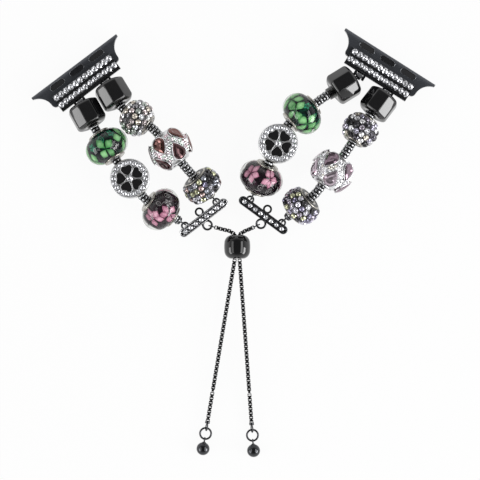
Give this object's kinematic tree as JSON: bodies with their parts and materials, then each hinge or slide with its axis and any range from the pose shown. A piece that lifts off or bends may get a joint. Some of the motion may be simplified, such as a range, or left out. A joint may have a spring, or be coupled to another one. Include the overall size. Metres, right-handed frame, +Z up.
{
  "type": "beaded chain watch strap",
  "caption": "Watch strap of bead chains with slide-in adapters, stone bars, glass and pave beads, and a sliding-bead closure with two chain tails.",
  "frame": {"origin": "middle of the outer box at the surface the strap lies on", "axes": "+Z up from the surface, +Y from the tails towards the two adapters, +X from the left half to the right half"},
  "size_m": [0.1234, 0.1312, 0.0146],
  "materials": {
    "adapter_black": "satin black anodised",
    "button_black": "satin black",
    "spring_steel": "bright",
    "rubber_black": "matte",
    "gunmetal": "polished dark plating",
    "crystal_clear": "cut and foiled",
    "pin_steel": "polished",
    "barrel_black": "glossy faceted",
    "chain_dark": "polished dark plating",
    "glass_green": "clear lampwork glass with green petals",
    "glass_pink": "clear lampwork glass with pink petals",
    "bead_silver": "polished silver plating",
    "disc_silver": "polished, black enamel petals",
    "pave_black": "black setting clay",
    "crystal_rainbow": "cut, rainbow coating",
    "gem_rose": "cut and foiled",
    "gem_mauve": "cut and foiled",
    "crystal_mixed": "cut, mixed colours",
    "chain_box": "polished dark plating",
    "ball_plated": "polished dark plating",
    "slider_black": "glossy",
    "core_rubber": "soft silicone"
  },
  "bodies": {
    "closure": {"left_closure_chain": "chain_box", "right_closure_chain": "chain_box"},
    "slider": {"slider_bead": "slider_black", "slider_core": "core_rubber"},
    "left_end_bar_body": {"left_end_bar": "gunmetal", "left_end_bar_crystals": "crystal_clear"},
    "left_row_3": {"left_chain_row_3": "chain_dark"},
    "left_row_2": {"left_chain_row_2": "chain_dark"},
    "left_row_1": {"left_chain_row_1": "chain_dark"},
    "left_barrel_pair": {"left_barrels": "barrel_black"},
    "left_adapter_body": {"left_adapter": "adapter_black", "left_latch_spring": "spring_steel", "left_bumpers": "rubber_black", "left_stone_bar": "gunmetal", "left_stone_bar_crystals": "crystal_clear", "left_hinge_pins": "pin_steel"},
    "left_latch": {"left_latch_button": "button_black"},
    "left_green_bead": {"left_green_glass": "glass_green", "left_green_core": "bead_silver"},
    "left_flower_bead": {"left_flower_disc": "disc_silver", "left_flower_disc_crystals": "crystal_clear"},
    "left_pink_bead": {"left_pink_glass": "glass_pink", "left_pink_core": "bead_silver"},
    "left_pave_ball_bead": {"left_pave_ball": "pave_black", "left_pave_ball_crystals": "crystal_rainbow"},
    "left_drop_bead_body": {"left_drop_bead": "disc_silver", "left_drop_bead_gems": "gem_rose"},
    "left_rondelle_bead": {"left_pave_rondelle": "pave_black", "left_pave_rondelle_crystals": "crystal_mixed"},
    "left_tail_upper_body": {"left_tail_upper": "chain_box"},
    "left_tail_lower_body": {"left_tail_lower": "chain_box"},
    "left_end_ball_body": {"left_end_ball": "ball_plated"},
    "right_end_bar_body": {"right_end_bar": "gunmetal", "right_end_bar_crystals": "crystal_clear"},
    "right_row_3": {"right_chain_row_3": "chain_dark"},
    "right_row_2": {"right_chain_row_2": "chain_dark"},
    "right_row_1": {"right_chain_row_1": "chain_dark"},
    "right_barrel_pair": {"right_barrels": "barrel_black"},
    "right_adapter_body": {"right_adapter": "adapter_black", "right_latch_spring": "spring_steel", "right_bumpers": "rubber_black", "right_stone_bar": "gunmetal", "right_stone_bar_crystals": "crystal_clear", "right_hinge_pins": "pin_steel"},
    "right_latch": {"right_latch_button": "button_black"},
    "right_green_bead": {"right_green_glass": "glass_green", "right_green_core": "bead_silver"},
    "right_flower_bead": {"right_flower_disc": "disc_silver", "right_flower_disc_crystals": "crystal_clear"},
    "right_pink_bead": {"right_pink_glass": "glass_pink", "right_pink_core": "bead_silver"},
    "right_pave_ball_bead": {"right_pave_ball": "pave_black", "right_pave_ball_crystals": "crystal_rainbow"},
    "right_drop_bead_body": {"right_drop_bead": "disc_silver", "right_drop_bead_gems": "gem_mauve"},
    "right_rondelle_bead": {"right_pave_rondelle": "pave_black", "right_pave_rondelle_crystals": "crystal_mixed"},
    "right_tail_upper_body": {"right_tail_upper": "chain_box"},
    "right_tail_lower_body": {"right_tail_lower": "chain_box"},
    "right_end_ball_body": {"right_end_ball": "ball_plated"}
  },
  "joints": [
    {"name": "slider_slide", "type": "slide", "parent": "closure", "child": "slider", "axis": [0, -1, 0], "range_m": [0, 0.0405], "deforming": ["left_tail_upper", "left_tail_lower", "right_tail_upper", "right_tail_lower"]},
    {"name": "left_end_bar_hinge", "type": "hinge", "parent": "closure", "child": "left_end_bar_body", "pos_m": [-0.00668, 0.0052, 0.005], "axis": [0.2756, 0.9613, 0], "range_deg": [0, 15]},
    {"name": "left_row_3_hinge", "type": "hinge", "parent": "left_end_bar_body", "child": "left_row_3", "pos_m": [-0.01061, 0.00979, 0.005], "axis": [0.7965, 0.6046, 0], "range_deg": [0, 20]},
    {"name": "left_row_2_hinge", "type": "hinge", "parent": "left_row_3", "child": "left_row_2", "pos_m": [-0.0207, 0.0182, 0.0084], "axis": [0.7907, 0.6122, 0], "range_deg": [0, 20]},
    {"name": "left_row_1_hinge", "type": "hinge", "parent": "left_row_2", "child": "left_row_1", "pos_m": [-0.0299, 0.02995, 0.0078], "axis": [0.7559, 0.6547, 0], "range_deg": [0, 20]},
    {"name": "left_barrel_hinge", "type": "hinge", "parent": "left_row_1", "child": "left_barrel_pair", "pos_m": [-0.03775, 0.03755, 0.0063], "axis": [0.7352, 0.6779, 0], "range_deg": [0, 20]},
    {"name": "left_adapter_hinge", "type": "hinge", "parent": "left_barrel_pair", "child": "left_adapter_body", "pos_m": [-0.04271, 0.04605, 0.0048], "axis": [0.7986, 0.6018, 0], "range_deg": [0, 25]},
    {"name": "left_latch_press", "type": "slide", "parent": "left_adapter_body", "child": "left_latch", "axis": [0, 0, -1], "range_m": [0, 0.0006], "stiffness_N_per_m": 400, "deforming": ["left_latch_spring"]},
    {"name": "left_green_spin", "type": "hinge", "parent": "left_row_1", "child": "left_green_bead", "pos_m": [-0.03852, 0.02951, 0.00706], "axis": [0.56, -0.817, 0.1377], "continuous": true},
    {"name": "left_flower_spin", "type": "hinge", "parent": "left_row_2", "child": "left_flower_bead", "pos_m": [-0.03148, 0.01963, 0.00808], "axis": [0.5918, -0.8051, 0.0413], "continuous": true},
    {"name": "left_pink_spin", "type": "hinge", "parent": "left_row_3", "child": "left_pink_bead", "pos_m": [-0.02214, 0.0104, 0.00699], "axis": [0.8213, -0.5164, -0.2426], "continuous": true},
    {"name": "left_pave_ball_spin", "type": "hinge", "parent": "left_row_1", "child": "left_pave_ball_bead", "pos_m": [-0.02934, 0.03811, 0.00701], "axis": [0.829, -0.544, 0.1295], "continuous": true},
    {"name": "left_drop_spin", "type": "hinge", "parent": "left_row_2", "child": "left_drop_bead_body", "pos_m": [-0.01919, 0.02865, 0.00811], "axis": [0.6384, -0.7687, 0.0391], "continuous": true},
    {"name": "left_rondelle_spin", "type": "hinge", "parent": "left_row_3", "child": "left_rondelle_bead", "pos_m": [-0.00957, 0.01755, 0.00647], "axis": [0.6488, -0.7172, -0.2545], "continuous": true},
    {"name": "left_tail_close", "type": "hinge", "parent": "closure", "child": "left_tail_upper_body", "pos_m": [0.0004, -0.0046, 0.004], "axis": [-0.3009, 0, 0.9537], "range_deg": [0, 9.99]},
    {"name": "left_tail_open", "type": "hinge", "parent": "left_tail_upper_body", "child": "left_tail_lower_body", "pos_m": [-0.00645, -0.04547, 0.00184], "axis": [-0.3009, 0, 0.9537], "range_deg": [-9.99, 0]},
    {"name": "left_end_ball_swing", "type": "hinge", "parent": "left_tail_lower_body", "child": "left_end_ball_body", "pos_m": [-0.00826, -0.05625, 0.00127], "axis": [0, 0, 1], "range_deg": [-30, 30]},
    {"name": "right_end_bar_hinge", "type": "hinge", "parent": "closure", "child": "right_end_bar_body", "pos_m": [0.00711, 0.00542, 0.005], "axis": [0.4226, -0.9063, 0], "range_deg": [0, 15]},
    {"name": "right_row_3_hinge", "type": "hinge", "parent": "right_end_bar_body", "child": "right_row_3", "pos_m": [0.01048, 0.01062, 0.005], "axis": [0.807, -0.5906, 0], "range_deg": [0, 20]},
    {"name": "right_row_2_hinge", "type": "hinge", "parent": "right_row_3", "child": "right_row_2", "pos_m": [0.0178, 0.0198, 0.0084], "axis": [0.8427, -0.5384, 0], "range_deg": [0, 20]},
    {"name": "right_row_1_hinge", "type": "hinge", "parent": "right_row_2", "child": "right_row_1", "pos_m": [0.02525, 0.03195, 0.0078], "axis": [0.9014, -0.4329, 0], "range_deg": [0, 20]},
    {"name": "right_barrel_hinge", "type": "hinge", "parent": "right_row_1", "child": "right_barrel_pair", "pos_m": [0.03425, 0.04155, 0.0063], "axis": [0.9316, -0.3634, 0], "range_deg": [0, 20]},
    {"name": "right_adapter_hinge", "type": "hinge", "parent": "right_barrel_pair", "child": "right_adapter_body", "pos_m": [0.04249, 0.04849, 0.0048], "axis": [0.8443, -0.5358, 0], "range_deg": [0, 25]},
    {"name": "right_latch_press", "type": "slide", "parent": "right_adapter_body", "child": "right_latch", "axis": [0, 0, -1], "range_m": [0, 0.0006], "stiffness_N_per_m": 400, "deforming": ["right_latch_spring"]},
    {"name": "right_green_spin", "type": "hinge", "parent": "right_row_1", "child": "right_green_bead", "pos_m": [0.02076, 0.03947, 0.00719], "axis": [-0.7951, -0.5963, 0.1104], "continuous": true},
    {"name": "right_flower_spin", "type": "hinge", "parent": "right_row_2", "child": "right_flower_bead", "pos_m": [0.01349, 0.03028, 0.0081], "axis": [-0.4407, -0.8965, 0.0456], "continuous": true},
    {"name": "right_pink_spin", "type": "hinge", "parent": "right_row_3", "child": "right_pink_bead", "pos_m": [0.00843, 0.01992, 0.00691], "axis": [-0.4181, -0.8621, -0.2863], "continuous": true},
    {"name": "right_pave_ball_spin", "type": "hinge", "parent": "right_row_1", "child": "right_pave_ball_bead", "pos_m": [0.03854, 0.03455, 0.00688], "axis": [-0.5407, -0.8336, 0.1127], "continuous": true},
    {"name": "right_drop_spin", "type": "hinge", "parent": "right_row_2", "child": "right_drop_bead_body", "pos_m": [0.02992, 0.02196, 0.00808], "axis": [-0.5881, -0.8078, 0.0388], "continuous": true},
    {"name": "right_rondelle_spin", "type": "hinge", "parent": "right_row_3", "child": "right_rondelle_bead", "pos_m": [0.02049, 0.01141, 0.00682], "axis": [-0.7397, -0.6208, -0.2598], "continuous": true},
    {"name": "right_tail_close", "type": "hinge", "parent": "closure", "child": "right_tail_upper_body", "pos_m": [0.0018, -0.0046, 0.004], "axis": [-0.5823, 0, -0.813], "range_deg": [0, 5.16]},
    {"name": "right_tail_open", "type": "hinge", "parent": "right_tail_upper_body", "child": "right_tail_lower_body", "pos_m": [0.00482, -0.04593, 0.00184], "axis": [-0.5823, 0, -0.813], "range_deg": [-5.16, 0]},
    {"name": "right_end_ball_swing", "type": "hinge", "parent": "right_tail_lower_body", "child": "right_end_ball_body", "pos_m": [0.00561, -0.05676, 0.00127], "axis": [0, 0, 1], "range_deg": [-30, 30]}
  ],
  "couplings": [
    {"joint": "left_tail_close", "follows": "slider_slide", "rad_per_m": 4.2971},
    {"joint": "left_tail_open", "follows": "slider_slide", "rad_per_m": -4.2971},
    {"joint": "right_tail_close", "follows": "slider_slide", "rad_per_m": 2.2148},
    {"joint": "right_tail_open", "follows": "slider_slide", "rad_per_m": -2.2148}
  ]
}
